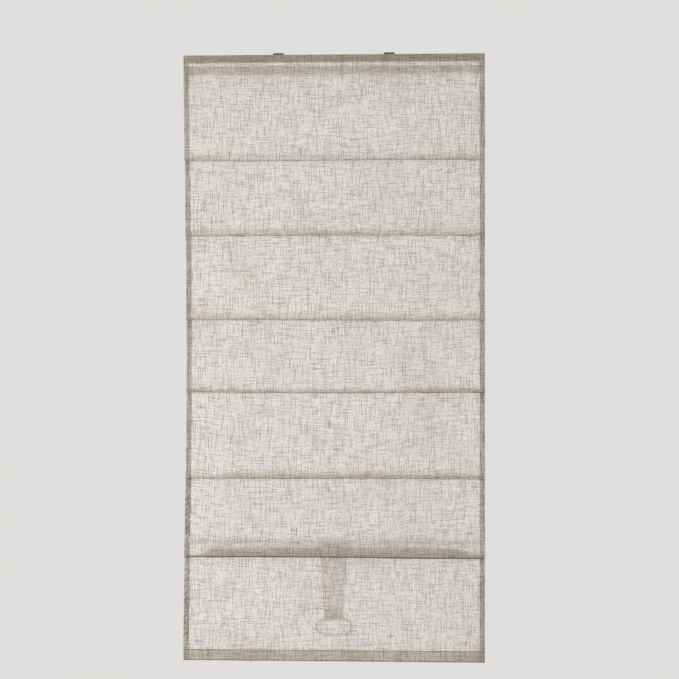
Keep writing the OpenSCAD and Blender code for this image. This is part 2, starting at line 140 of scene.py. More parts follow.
def pathLengths(points, start=0.0):
    lengths = [start]
    for (y0, z0), (y1, z1) in zip(points, points[1:]):
        lengths.append(lengths[-1] + math.hypot(y1 - y0, z1 - z0))
    return lengths


def layWeave(bm, measure):
    # UV map in metres of the flat cloth, so that threads follow the sheet
    weave = bm.loops.layers.uv.new("weave")
    for face in bm.faces:
        for loop in face.loops:
            loop[weave].uv = measure[loop.vert]


def finishMesh(name, bm, material):
    mesh = bpy.data.meshes.new(name)
    bm.to_mesh(mesh)
    bm.free()
    for face in mesh.polygons:
        face.use_smooth = True
    mesh.materials.append(material)
    piece = bpy.data.objects.new(name, mesh)
    bpy.context.collection.objects.link(piece)
    return piece


# materials

def thinCloth(tree, faceColour, glowColour, height, look):
    # a thin sheet: light comes off its face, and the clear share glows through from the other side
    bump = addNode(tree, "ShaderNodeBump", {"Height": height, "Strength": look["bump"],
                                            "Distance": look["raised"] * mm})
    normal = bump.outputs["Normal"]
    face = addNode(tree, "ShaderNodeBsdfPrincipled", {"Base Color": faceColour, "Roughness": look["rough"],
                                                      "IOR": look["ior"], "Specular IOR Level": look["gloss"],
                                                      "Normal": normal})
    through = addNode(tree, "ShaderNodeBsdfTranslucent", {"Color": glowColour, "Normal": normal})
    both = addNode(tree, "ShaderNodeMixShader", {"Fac": look["clear"], 1: face.outputs["BSDF"],
                                                 2: through.outputs["BSDF"]})
    return both.outputs["Shader"]


# slubbed linen-look cloth, plain woven: uneven threads both ways, with thicker slubs that read darker,
# and thin enough that light from behind comes through, a little cooler than light off its face; the warm
# face tint and the cool glow tint are painted light, standing in for warm light in front and cool light
# behind
linenLook = {"light": "#F5F3F3", "thread": "#7D7772", "face": "#FFF2DC", "glow": "#EFF5FE",
             "clear": 0.57, "rough": 0.88, "ior": 1.46, "gloss": 0.2, "bump": 0.3, "raised": 0.4,
             # clouds of a warmer yarn, 150 mm wide
             "warm": "#D6CDC7", "cloud": 150, "cloudLow": 0.42, "cloudHigh": 0.75, "cloudShare": 0.2}
# thread gap and run in mm, coarse enough to show, where the noise is cut, and how dark the threads go
linenThreads = ({"gap": 2.7, "run": 4, "low": 0.40, "high": 0.68, "upright": 0.16, "level": 0.15},
                {"gap": 1.9, "run": 26, "low": 0.44, "high": 0.66, "upright": 0.13, "level": 0.10},
                {"gap": 1.8, "run": 52, "low": 0.63, "high": 0.72, "upright": 0.30, "level": 0.28})
noSnap = 1e-5  # a step too small to show, for the way along a thread


def makeLinen():
    look = linenLook
    material, tree = newMaterial("slubbedLinen")
    weave = addNode(tree, "ShaderNodeUVMap", uv_map="weave").outputs["UV"]
    dark = 0.0
    for kind in linenThreads:
        gap, run = kind["gap"] * mm, kind["run"] * mm
        ways = (("upright", (gap, noSnap, 1), (1 / gap, 1 / run, 1)),
                ("level", (noSnap, gap, 1), (1 / run, 1 / gap, 1)))
        for way, step, scale in ways:
            # each thread keeps one tone across its width and changes along its run; the noise is read half
            # way between its grid points, so that neighbours differ
            single = addNode(tree, "ShaderNodeVectorMath", {0: weave, 1: step}, operation="SNAP")
            spread = addNode(tree, "ShaderNodeMapping", {"Vector": single.outputs["Vector"], "Scale": scale,
                                                         "Location": (0.5, 0.5, 0)})
            cloud = addNode(tree, "ShaderNodeTexNoise", {"Vector": spread.outputs["Vector"], "Scale": 1.0,
                                                         "Detail": 0.5, "Roughness": 0.5},
                            noise_dimensions="2D")
            tone = addNode(tree, "ShaderNodeMapRange", {"Value": cloud.outputs["Fac"],
                                                        "From Min": kind["low"], "From Max": kind["high"]})
            dark = addNode(tree, "ShaderNodeMath", {0: tone.outputs["Result"], 1: kind[way], 2: dark},
                           operation="MULTIPLY_ADD").outputs["Value"]
    wide = addNode(tree, "ShaderNodeMapping", {"Vector": weave, "Scale": [1 / (look["cloud"] * mm)] * 3})
    patch = addNode(tree, "ShaderNodeTexNoise", {"Vector": wide.outputs["Vector"], "Scale": 1.0,
                                                 "Detail": 1.0}, noise_dimensions="2D")
    warmth = addNode(tree, "ShaderNodeMapRange", {"Value": patch.outputs["Fac"],
                                                  "From Min": look["cloudLow"], "From Max": look["cloudHigh"],
                                                  "To Max": look["cloudShare"]})
    ground = addNode(tree, "ShaderNodeMix", {0: warmth.outputs["Result"], 6: srgb(look["light"]),
                                             7: srgb(look["warm"])}, data_type="RGBA").outputs[2]
    colour = addNode(tree, "ShaderNodeMix", {0: dark, 6: ground, 7: srgb(look["thread"])},
                     data_type="RGBA").outputs[2]
    # painted light: the face is tinted warm as if lit by warm light, the glow cool as if lit by cool light
    face, glow = [addNode(tree, "ShaderNodeMix", {0: 1.0, 6: colour, 7: srgb(look[tint])}, data_type="RGBA",
                          blend_type="MULTIPLY").outputs[2] for tint in ("face", "glow")]
    endMaterial(tree, thinCloth(tree, face, glow, dark, look))
    return material


def makeSheer(name, look):
    # sheer polyester: a fine weave, as wide and as high as look's mesh in mm, shifts its tone;
    # light glows through it, and where the weave is open some passes straight on
    material, tree = newMaterial(name)
    weave = addNode(tree, "ShaderNodeUVMap", uv_map="weave").outputs["UV"]
    scale = [1 / (size * mm) for size in look["mesh"]] + [1]
    spread = addNode(tree, "ShaderNodeMapping", {"Vector": weave, "Scale": scale})
    mesh = addNode(tree, "ShaderNodeTexNoise", {"Vector": spread.outputs["Vector"], "Scale": 1.0,
                                                "Detail": 1.0}, noise_dimensions="2D").outputs["Fac"]
    colour = addNode(tree, "ShaderNodeMix", {0: mesh, 6: srgb(look["light"]), 7: srgb(look["dark"])},
                     data_type="RGBA").outputs[2]
    shader = thinCloth(tree, colour, colour, mesh, look)
    if look["holes"]:
        past = addNode(tree, "ShaderNodeBsdfTransparent")
        net = addNode(tree, "ShaderNodeMixShader", {"Fac": look["holes"], 1: shader, 2: past.outputs["BSDF"]})
        shader = net.outputs["Shader"]
    endMaterial(tree, shader)
    return material


# tone, gloss and height of the hard finishes all follow one noise
grain = {"detail": 3.0, "fade": 0.6, "low": 0.3, "high": 0.7, "glossShift": 0.07, "bump": 0.4}


def makeSolid(name, light, dark, size, rough, stretch=(1, 1, 1), metallic=0.0, ior=1.5, bumpHeight=0.05,
              coat=0.0, milky=0.0, clear=0.0):
    # a hard finish with a fine cloud or streak, size mm wide and stretched along the axes;
    # milky and clear are the shares of light that glow through it and that pass straight on
    material, tree = newMaterial(name)
    place = addNode(tree, "ShaderNodeTexCoord").outputs["Object"]
    scale = [1 / (size * mm * s) for s in stretch]
    spread = addNode(tree, "ShaderNodeMapping", {"Vector": place, "Scale": scale})
    cloud = addNode(tree, "ShaderNodeTexNoise", {"Vector": spread.outputs["Vector"], "Scale": 1.0,
                                                 "Detail": grain["detail"],
                                                 "Roughness": grain["fade"]}).outputs["Fac"]
    colour = addNode(tree, "ShaderNodeMix", {0: cloud, 6: srgb(light), 7: srgb(dark)},
                     data_type="RGBA").outputs[2]
    gloss = addNode(tree, "ShaderNodeMapRange", {"Value": cloud,
                                                 "From Min": grain["low"], "From Max": grain["high"],
                                                 "To Min": rough - grain["glossShift"],
                                                 "To Max": rough + grain["glossShift"]})
    bump = addNode(tree, "ShaderNodeBump", {"Height": cloud, "Strength": grain["bump"],
                                            "Distance": bumpHeight * mm})
    face = addNode(tree, "ShaderNodeBsdfPrincipled", {"Base Color": colour,
                                                      "Roughness": gloss.outputs["Result"],
                                                      "Metallic": metallic, "IOR": ior, "Coat Weight": coat,
                                                      "Normal": bump.outputs["Normal"]})
    shader = face.outputs["BSDF"]
    if milky:
        glow = addNode(tree, "ShaderNodeBsdfTranslucent", {"Color": colour})
        both = addNode(tree, "ShaderNodeMixShader", {"Fac": milky, 1: shader, 2: glow.outputs["BSDF"]})
        shader = both.outputs["Shader"]
    if clear:
        past = addNode(tree, "ShaderNodeBsdfTransparent")
        both = addNode(tree, "ShaderNodeMixShader", {"Fac": clear, 1: shader, 2: past.outputs["BSDF"]})
        shader = both.outputs["Shader"]
    endMaterial(tree, shader)
    return material


linen = makeLinen()
# woven polyester ribbon: thin ribs across, and most light comes through
ribbon = makeSheer("sheerRibbon", {"light": "#F3F4F4", "dark": "#E0E2E3", "mesh": (30, 1.6),
                                   "bump": 0.3, "raised": 0.3, "rough": 0.6, "ior": 1.5, "gloss": 0.3,
                                   "clear": 0.66, "holes": 0.0})
# polyester voile of the rod pockets: an open, glassy weave that only dims the light behind it
voile = makeSheer("sheerVoile", {"light": "#FBFAF7", "dark": "#F0EDE7", "mesh": (1.4, 1.4),
                                 "bump": 0.2, "raised": 0.2, "rough": 0.55, "ior": 1.5, "gloss": 0.3,
                                 "clear": 0.84, "holes": 0.6})
# powder-coated aluminium: a soft white skin with a faint orange peel
coatedAluminium = makeSolid("coatedAluminium", "#F0EDE8", "#E6E3DD", size=1.6, rough=0.38, bumpHeight=0.04)
# zinc-plated pressed steel: dark cool grey with a cloudy spangle; the dark grey is painted shade, so that
# brackets, latches and rivets read as the shaded gap above the cloth
zincSteelPaintedShade = makeSolid("zincPlatedSteelPaintedShade", "#6C6E70", "#4E5052", size=3.0, rough=0.45, metallic=1.0)
# hook and loop tape: a dull dark pile that lets no light through; its dark grey is partly painted shade,
# which darkens the cloth over the rail as if it lay in shade from above
pileTapeAndShade = makeSolid("hookLoopTapeAndShade", "#6A655F", "#4A4641", size=0.9, rough=0.9, bumpHeight=0.3)
# moulded ABS: warm white and satin, with a fine spark-eroded grain
mouldedPlastic = makeSolid("mouldedAbs", "#F1EFEA", "#E5E2DB", size=0.7, rough=0.45, ior=1.53)
# pultruded fibreglass: pale, with glassy streaks along rods and bar, and light comes through
fibreglass = makeSolid("pultrudedFibreglass", "#F8F6F0", "#E9E5DA", size=0.6, rough=0.4, stretch=(60, 1, 1),
                       ior=1.52, milky=0.9, clear=0.75)
# rolled spring strip: blue-grey and finely drawn along its turn
springSteel = makeSolid("rolledSpringSteel", "#A3A8AD", "#7C8187", size=0.5, rough=0.3, stretch=(1, 24, 24),
                        metallic=1.0)
# drawn steel: bright, with long drawing lines
drawnSteel = makeSolid("drawnSteel", "#C9CCCE", "#A1A5A8", size=0.5, rough=0.3, stretch=(80, 1, 1),
                       metallic=1.0)
# smooth moulded acetal: the ring's milky white, a little glossy
ringPlastic = makeSolid("mouldedAcetal", "#F1F2F1", "#E6E8E8", size=2.0, rough=0.26, ior=1.48, coat=0.15,
                        milky=0.7, clear=0.2)
# braided polyester: matt white with a short twill along the cord
braid = makeSolid("braidedPolyester", "#F6F4EF", "#D9D5CC", size=0.7, rough=0.8, stretch=(1, 1, 2),
                  bumpHeight=0.15)
# spun polyester thread: taupe with a dull twist; its dark brown is partly painted shadow, the dark line under
# each fold and along the bottom edge
thread = makeSolid("spunThreadAndShadow", "#64543F", "#4A3D2D", size=0.5, rough=0.8, stretch=(2, 1, 1), bumpHeight=0.1)
print("materials made")


# the cloth, all in millimetres until its points are hung

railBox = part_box("head_rail")
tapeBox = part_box("loop_tape")
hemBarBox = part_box("bottom_bar")
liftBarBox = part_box("lift_bar")
rodCount = 5
rodBoxes = [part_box("rod_%d" % (k + 1)) for k in range(rodCount)]
rodZ = [boxMiddle(box, "z") for box in rodBoxes]
barZ = boxMiddle(liftBarBox, "z")
railFoot = railBox[0].z / mm
clothBack = tapeBox[0].y / mm

cloth = {
    "halfWidth": 404, "top": -6, "bottom": -1632, "thickness": 0.8, "columns": 132,
    # side hems: their width, the room between their layers, and how much narrower the second turn is
    "hem": 14, "hemGap": 0.5, "hemShort": 2, "hemColumns": 8,
    # how far the left and right edges draw in half way down, and how round that line is
    "drawIn": (9, 0), "drawInRound": 1.3,
    # fold lines below their rods, the lowest below the lift bar, and how they wander up and down
    "belowRod": (8, 8, 8, 4.5, 5.5), "lowFold": 42, "wander": 0.9, "wanderRun": 130, "wanderStep": 1.7,
    # how far a panel leans out at its foot, and how late; the lowest leans further where it is tucked up more
    "bulge": 8, "belly": 2.4, "lowBulge": 9, "bulgeByTuck": 0.25, "lowBelly": 1.15,
    # radius of a fold line, more where it is tucked up more, and the angles it turns through
    "nose": 1.0, "noseByTuck": 0.05, "noseStart": 190, "noseEnd": 335,
    # between the two layers at a seam
    "layerGap": 1.8,
    # seam allowance inside the lowest fold: height, most share of the tuck, lean, room and how far it returns
    "seam": 11, "seamShare": 0.55, "seamLean": 1.2, "seamRoom": 0.6, "seamReturn": 0.9,
    # slow waves: depth, run across, step from panel to panel, change down a panel, the noise's layer, and how
    # far all waves are lifted towards the room
    "wave": 1.3, "waveRun": 210, "waveStep": 3.1, "waveFall": 1.4, "waveLayer": 0.7, "waveLift": 0.5,
    "fallRows": 38, "lastRows": 76, "roundRows": 8, "riseRows": 3, "turnRows": 5, "seamRows": 3,
}
# how high each fold is tucked up behind itself, at places along it from the left edge to the right
foldTucks = [
    ((-404, 5), (-300, 4.5), (-250, 2.2), (120, 2.2), (404, 4.5)),
    ((-404, 4), (404, 4)),
    ((-404, 4), (404, 4.5)),
    ((-404, 8), (-345, 6), (-320, 4), (170, 4), (200, 8), (404, 8)),
    ((-404, 4), (-300, 4), (-250, 9), (250, 9), (404, 9)),
    ((-404, 5), (-370, 7), (-322, 25), (0, 29), (300, 28), (372, 15), (404, 6)),
]
midY = clothBack - cloth["thickness"] / 2
foldZ = [z - below for z, below in zip(rodZ, cloth["belowRod"])] + [barZ - cloth["lowFold"]]


def foldAt(k, x):
    tuck = alongKeys(foldTucks[k], x)
    line = foldZ[k] + cloth["wander"] * math.sin(x / cloth["wanderRun"] + cloth["wanderStep"] * k)
    bulge = cloth["bulge"] if k < rodCount else cloth["lowBulge"] + cloth["bulgeByTuck"] * tuck
    nose = cloth["nose"] + cloth["noseByTuck"] * tuck
    return {"line": line, "bulge": bulge, "nose": nose, "round": line + nose, "turn": line + tuck}


def panelTop(k, x):
    return railFoot if k == 0 else foldAt(k - 1, x)["turn"]


def slowWave(x, down, layer, t):
    # a slow wave of the hanging cloth, still at its seams, where t is 0 or 1
    lifted = noise.noise(Vector((x, down, layer))) + cloth["waveLift"]
    return max(lifted, 0.0) * math.sin(math.pi * t)


def fallPoint(k, x, t):
    fold = foldAt(k, x)
    top = panelTop(k, x)
    belly = cloth["belly"] if k < rodCount else cloth["lowBelly"]
    down = cloth["waveStep"] * k + cloth["waveFall"] * t
    wave = cloth["wave"] * slowWave(x / cloth["waveRun"], down, cloth["waveLayer"], t)
    return (midY - fold["bulge"] * t ** belly - wave, top + (fold["round"] - top) * t)


def foldPoints(k, x):
    # round the fold, up behind it and over the turn of its seam
    fold = foldAt(k, x)
    gap, nose = cloth["layerGap"], fold["nose"]
    points = roundPoints(midY - fold["bulge"] + nose, fold["round"], nose, cloth["noseStart"],
                         cloth["noseEnd"], cloth["roundRows"])
    if k == rodCount:
        # the seam of the skirt: its allowance stands up inside the fold
        y, z = points[-1]
        tall = min(cloth["seam"], cloth["seamShare"] * (fold["turn"] - z))
        lean, inside = cloth["seamLean"], y - cloth["seamRoom"]
        points += straightPoints((y, z), (y - lean, z + tall), cloth["seamRows"])
        points += straightPoints((inside, z + tall), (inside + lean, z + tall * (1 - cloth["seamReturn"])),
                                 cloth["seamRows"], first=0)
    points += straightPoints(points[-1], (midY - gap, fold["turn"]), cloth["riseRows"])
    return points + roundPoints(midY - gap / 2, fold["turn"], gap / 2, 180, 0, cloth["turnRows"])


def barShare(x):
    # how far down the last panel the lift bar lies
    top = panelTop(rodCount, x)
    return (barZ - top) / (foldAt(rodCount, x)["round"] - top)


def shadePath(x):
    points = [(midY, railFoot)]
    steps = cloth["fallRows"]
    for k in range(rodCount):
        points += [fallPoint(k, x, i / steps) for i in range(1, steps + 1)]
        points += foldPoints(k, x)
    share, steps = barShare(x), cloth["lastRows"]
    return points + [fallPoint(rodCount, x, share * i / steps) for i in range(1, steps + 1)]


# the flat skirt with its own slow waves, and the bottom hem round its bar: how far below the hem's top it
# bends in, where it meets the skirt again, and the room it keeps there
skirt = {"fallRows": 10, "flatRows": 120, "wave": 0.9, "waveRun": 190, "waveFall": 2.2, "waveLayer": 9.3,
         "hemRows": 8, "hemHeight": 31, "hemRise": 5, "hemBend": 3, "hemEdge": 1, "hemRoom": 0.5}


def skirtPath(x):
    share = barShare(x)
    steps = skirt["fallRows"]
    points = [fallPoint(rodCount, x, share + (1 - share) * i / steps) for i in range(steps + 1)]
    points += foldPoints(rodCount, x)
    hemRadius = boxMiddle(hemBarBox, "y") - midY
    hemRound = cloth["bottom"] + cloth["thickness"] / 2 + hemRadius
    top = points[-1][1]
    for i in range(1, skirt["flatRows"] + 1):
        t = i / skirt["flatRows"]
        wave = skirt["wave"] * slowWave(x / skirt["waveRun"], skirt["waveFall"] * t, skirt["waveLayer"], t)
        points.append((midY - wave, top + (hemRound - top) * t))
    points += roundPoints(midY + hemRadius, hemRound, hemRadius, 180, 360, skirt["hemRows"])
    hemTop, hemBack = cloth["bottom"] + skirt["hemHeight"], midY + 2 * hemRadius
    points += straightPoints((hemBack, hemRound), (hemBack, hemTop - skirt["hemBend"]), skirt["hemRise"])
    return points + [(midY + hemRadius, hemTop - skirt["hemEdge"]), (midY + skirt["hemRoom"], hemTop)]


# top edge over the tape, turned in: how far behind the face and below the top its points lie
head = {"turnedIn": ((0.7, 1.2), (0.4, 0.2), (0, 0.6)), "rows": 4}


def headPath(x):
    points = [(midY + back, cloth["top"] - below) for back, below in head["turnedIn"]]
    return points + straightPoints(points[-1], (midY, railFoot), head["rows"])


def clothColumns():
    # places across the cloth, each with how far it lies behind the face: both edges have a hem turned twice
    half, hem, gap, short = cloth["halfWidth"], cloth["hem"], cloth["hemGap"], cloth["hemShort"]
    steps, parts = cloth["columns"], cloth["hemColumns"]
    edge = [(half - hem * i / parts, 2 * gap) for i in range(parts + 1)]
    edge += [(half - hem + (hem - short) * i / parts, gap) for i in range(parts + 1)]
    inner = half - hem - short
    near = [(half - (half - inner) * i / parts, 0.0) for i in range(parts)]
    face = [(-x, back) for x, back in near]
    face += [(-inner + 2 * inner * i / steps, 0.0) for i in range(steps + 1)] + near[::-1]
    return [(-x, back) for x, back in edge[::-1]] + face + edge


# twisted part of the left hem: where it starts and ends, how it blends in, and its ridges, which wander and
# change in size by noise along z; each noise has its run and its layer
twist = {"from": -1112, "to": -1602, "fade": 24, "blend": 3,
         "pitch": 16, "slope": 1.15, "lift": 6.5, "steep": 0.25,
         "wander": 0.6, "wanderRun": 37, "wanderLayer": (4.1, 0),
         "size": 0.8, "change": 0.6, "changeRun": 21, "changeLayer": (0.4, 2.2)}


def hemTwist(x, z):
    # from just above the fifth fold down the left hem has twisted, and slanting ridges run across it like the
    # lay of a rope
    inside = -cloth["halfWidth"] + cloth["hem"] - x
    share = smoothStep(inside / twist["blend"]) * smoothStep((twist["from"] - z) / twist["fade"])
    share *= smoothStep((z - twist["to"]) / twist["fade"])
    if not share:
        return 0.0
    wander = twist["wander"] * noise.noise(Vector((z / twist["wanderRun"], *twist["wanderLayer"])))
    turn = (z - twist["slope"] * (x + cloth["halfWidth"])) / twist["pitch"] + wander
    t = turn - math.floor(turn)
    ridge = t / twist["steep"] if t < twist["steep"] else (1 - t) / (1 - twist["steep"])
    change = twist["change"] * noise.noise(Vector((z / twist["changeRun"], *twist["changeLayer"])))
    return twist["lift"] * (twist["size"] + change) * ridge * share


def drawnIn(x, z):
    # the edges draw in a little half way down, and the cloth with them
    t = min(max((cloth["top"] - z) / (cloth["top"] - cloth["bottom"]), 0.0), 1.0)
    bow = math.sin(math.pi * t) ** cloth["drawInRound"]
    u = (x + cloth["halfWidth"]) / (2 * cloth["halfWidth"])
    return x + bow * (cloth["drawIn"][0] * (1 - u) - cloth["drawIn"][1] * u)


def hangPoint(x, y, z):
    # from the cloth's own millimetres to its place in the frame
    return Vector((drawnIn(x, z), y - hemTwist(x, z), z)) * mm


def hangCloth(name, path, starts, tucked=None):
    # a flat grid, hung point by point along its path; the weave keeps the cloth's own measure down it
    columns = clothColumns()
    drops = [path(x) for x, back in columns]
    rows = len(drops[0])
    measures = [pathLengths(drop, start) for drop, start in zip(drops, starts)]
    middle = measures[len(columns) // 2]
    ends = [lengths[-1] for lengths in measures]
    if tucked:
        # below a tucked fold the threads run level again, and the slack is taken up inside it
        for lengths in measures:
            slack = middle[-1] - lengths[-1]
            for j in range(rows):
                lengths[j] += slack * smoothStep((j - tucked[0]) / (tucked[1] - tucked[0]))
    bm = bmesh.new()
    bmesh.ops.create_grid(bm, x_segments=len(columns) - 1, y_segments=rows - 1, size=1)
    measure = {}
    for vert in bm.verts:
        i = round((vert.co.x + 1) / 2 * (len(columns) - 1))
        j = round((1 - vert.co.y) / 2 * (rows - 1))
        x, back = columns[i]
        drop = drops[i]
        y, z = drop[j]
        if back:
            # a hem's layer lies square behind the face
            (y0, z0), (y1, z1) = drop[max(j - 1, 0)], drop[min(j + 1, rows - 1)]
            run = math.hypot(y1 - y0, z1 - z0)
            y, z = y - back * (z1 - z0) / run, z + back * (y1 - y0) / run
        vert.co = hangPoint(x, y, z)
        measure[vert] = (x * mm, -measures[i][j] * mm)
    layWeave(bm, measure)
    piece = finishMesh(name, bm, linen)
    return piece, (middle[-1] - starts[0]) * mm, ends


columnCount = len(clothColumns())
weaveStart = {"shade": 22, "head": 0, "band": 400}  # where each piece starts on the weave
shadeCloth, shadeLength, shadeEnds = hangCloth("shadeCloth", shadePath, [weaveStart["shade"]] * columnCount)
foldStart = skirt["fallRows"] + cloth["roundRows"]
foldEnd = foldStart + 2 * cloth["seamRows"] + cloth["riseRows"]
skirtCloth, skirtLength = hangCloth("skirtCloth", skirtPath, shadeEnds, tucked=(foldStart, foldEnd))[:2]
headCloth, headLength = hangCloth("headCloth", headPath, [weaveStart["head"]] * columnCount)[:2]
print("cloth hung: shade %.3f m, skirt %.3f m of cloth" % (shadeLength, skirtLength))


# band of cloth on the back of the shade, a little below the rail, put there for its shade: it throws the soft
# painted shade that lies under the rail
shadowBand = {"gap": 9, "height": 27, "sewn": 0.6, "standOff": 12, "rows": 8}


def shadowBandPath(x):
    top = railFoot - shadowBand["gap"]
    fold = foldAt(0, x)
    points = []
    for i in range(shadowBand["rows"] + 1):
        share = i / shadowBand["rows"]
        z = top - shadowBand["height"] * share
        t = (railFoot - z) / (railFoot - fold["round"])
        # sewn on along its top edge, it stands off further down and hangs straight at its hem, so that the
        # shade it throws on the cloth fades out downwards
        behind = shadowBand["sewn"] + shadowBand["standOff"] * smoothStep(share)
        points.append((fallPoint(0, x, t)[0] + behind, z))
    return points


shadowBandMesh, shadowBandLength = hangCloth("shadowBandCloth", shadowBandPath, [weaveStart["band"]] * columnCount)[:2]


# edge stitching of the folds and of the bottom hem; the dark stitches, thicker than real thread, also paint
# the shadow line under each fold and along the bottom edge
stitch = {
    "pitch": 4.2, "long": 4.0, "thick": 0.8, "fromEdge": 3,
    # angles of the rows round a fold line; the lowest fold has both
    "noseAngle": 208, "nextAngle": 170,
    # thread across each fold line, then across the hem's rows, widened to paint the shadow line
    "wide": (0.85, 0.85, 1.0, 1.5, 1.1, 1.9), "hem": 1.7,
    # the hem's rows, below its top and above its foot; the row above its foot paints the shadow along the
    # bottom edge
    "belowTop": 1, "aboveFoot": 3.0,
}


def sewLine(bm, place, wide):
    # short stitches along one line; place gives a point in mm at x
    end = cloth["halfWidth"] - stitch["fromEdge"]
    count = int(2 * end / stitch["pitch"])
    size = Matrix.Diagonal((stitch["long"] * mm, stitch["thick"] * mm, wide * mm, 1))
    for i in range(count):
        x = -end + 2 * end * (i + 0.5) / count
        spot = Matrix.Translation(hangPoint(x, *place(x)))
        # a ball of unit width, stretched to one stitch
        bmesh.ops.create_icosphere(bm, subdivisions=1, radius=0.5, matrix=spot @ size)


def nosePlace(k, angle):
    def place(x):
        fold = foldAt(k, x)
        a = math.radians(angle)
        r = fold["nose"] + cloth["thickness"] / 2
        return midY - fold["bulge"] + fold["nose"] + r * math.cos(a), fold["round"] + r * math.sin(a)
    return place


def hemPlace(up):
    def place(x):
        return midY - cloth["thickness"] / 2, cloth["bottom"] + up
    return place


bm = bmesh.new()
for k in range(rodCount):
    sewLine(bm, nosePlace(k, stitch["noseAngle"]), stitch["wide"][k])
foldShadowStitches = finishMesh("foldShadowStitches", bm, thread)
bm = bmesh.new()
# the lowest fold's rows and the hem's row above its foot are painted shadow lines as much as stitching
for angle in (stitch["noseAngle"], stitch["nextAngle"]):
    sewLine(bm, nosePlace(rodCount, angle), stitch["wide"][rodCount])
for up in (skirt["hemHeight"] - stitch["belowTop"], stitch["aboveFoot"]):
    sewLine(bm, hemPlace(up), stitch["hem"])
skirtShadowStitches = finishMesh("skirtShadowStitches", bm, thread)
print("folds and hem stitched")


# pockets of voile that hold the rods and the lift bar, sewn to the back of the cloth
pocket = {
    "sides": 24, "column": 20, "sewnEnd": 378,
    # room round a rod, the least height of a pocket, and how far it stays below the heights given
    "slack": 0.5, "least": 8.4, "trim": 1,
    # room for the cords' clips and for the tab
    "cordX": 250, "window": 12, "tabRoom": 40,
    # share of the way round that stays open at the seam, and the strip's place on the voile in metres
    "open": 0.01, "weaveFrom": 3.0, "weaveRun": 0.03,
}
# how high each pocket stands above its fold line, at places along it from the left edge to the right
pocketHeights = [
    ((-404, 13), (-240, 12), (-190, 8), (120, 8), (250, 11), (404, 13)),
    ((-404, 13), (404, 13)),
    ((-404, 13), (404, 14)),
    ((-404, 9), (90, 10), (200, 14), (404, 14)),
    ((-404, 9), (-300, 10), (-250, 19), (250, 21), (404, 18)),
]
barPocketHeight = ((0, 10),)


def pocketPoint(share, low, high, front, back):
    # place on a flat loop with round ends, by share of the way round it from its seam
    r = (back - front) / 2
    straight = max(high - low - 2 * r, 0.0)
    bend = math.pi * r
    run = share * (2 * straight + 2 * bend)
    if run < straight:
        return front, low + r + run
    run -= straight
    if run < bend:
        a = math.pi - run / r
        return front + r + r * math.cos(a), low + r + straight + r * math.sin(a)
    run -= bend
    if run < straight:
        return back, low + r + straight - run
    a = -(run - straight) / r
    return front + r + r * math.cos(a), low + r + r * math.sin(a)


def sewPocket(name, box, heights, gaps):
    # a strip of voile bent round one rod, with gaps where the cords' clips and the tab sit
    rodRadius = boxRadius(box)
    front, back = midY + pocket["slack"], boxMiddle(box, "y") + rodRadius + pocket["slack"]
    low = boxMiddle(box, "z") - rodRadius - 2 * pocket["slack"]
    stops = [-pocket["sewnEnd"]] + [edge for middle, half in gaps for edge in (middle - half, middle + half)]
    stops.append(pocket["sewnEnd"])
    bm = bmesh.new()
    measure = {}
    for x0, x1 in zip(stops[::2], stops[1::2]):
        steps = max(2, round((x1 - x0) / pocket["column"]))
        strip = bmesh.ops.create_grid(bm, x_segments=steps, y_segments=pocket["sides"], size=1)["verts"]
        for vert in strip:
            x = x0 + (x1 - x0) * (vert.co.x + 1) / 2
            share = pocket["open"] + (1 - 2 * pocket["open"]) * (vert.co.y + 1) / 2
            high = low + max(alongKeys(heights, x) - pocket["trim"], pocket["least"])
            y, z = pocketPoint(share, low, high, front, back)
            measure[vert] = (x * mm, pocket["weaveFrom"] + share * pocket["weaveRun"])
            vert.co = Vector((x, y, z)) * mm
    layWeave(bm, measure)
    area = sum(face.calc_area() for face in bm.faces)
    piece = finishMesh(name, bm, voile)
    return piece


clipGaps = [(side * pocket["cordX"], pocket["window"] / 2) for side in (-1, 1)]
for k, box in enumerate(rodBoxes):
    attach(sewPocket("rodPocket%d" % (k + 1), box, pocketHeights[k], clipGaps), "rod_%d" % (k + 1))
barGaps = [clipGaps[0], (0, pocket["tabRoom"]), clipGaps[1]]
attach(sewPocket("barPocket", liftBarBox, barPocketHeight, barGaps), "lift_bar")
print("pockets sewn")


# pull tab: one ribbon from the bar down to the ring, round its wire and back up, sewn at both ends
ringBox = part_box("pull_ring")
tab = {
    "topWidth": 76, "endWidth": 51, "columns": 14, "layer": 0.7, "room": 0.5, "wireRadius": 3.5,
    # sewn end behind the bar: how far below the bar it starts, and its rows
    "backEnd": 10, "backStep": 1.5, "backRows": 3,
    # turns round the bar and round the ring's wire, in degrees
    "barStart": -70, "barEnd": 180, "ringStart": 180, "ringEnd": 430, "roundRows": 12,
    # the fall between them, and the sewn end above the ring
    "fallRows": 24, "endBand": 31, "endRows": 6,
}


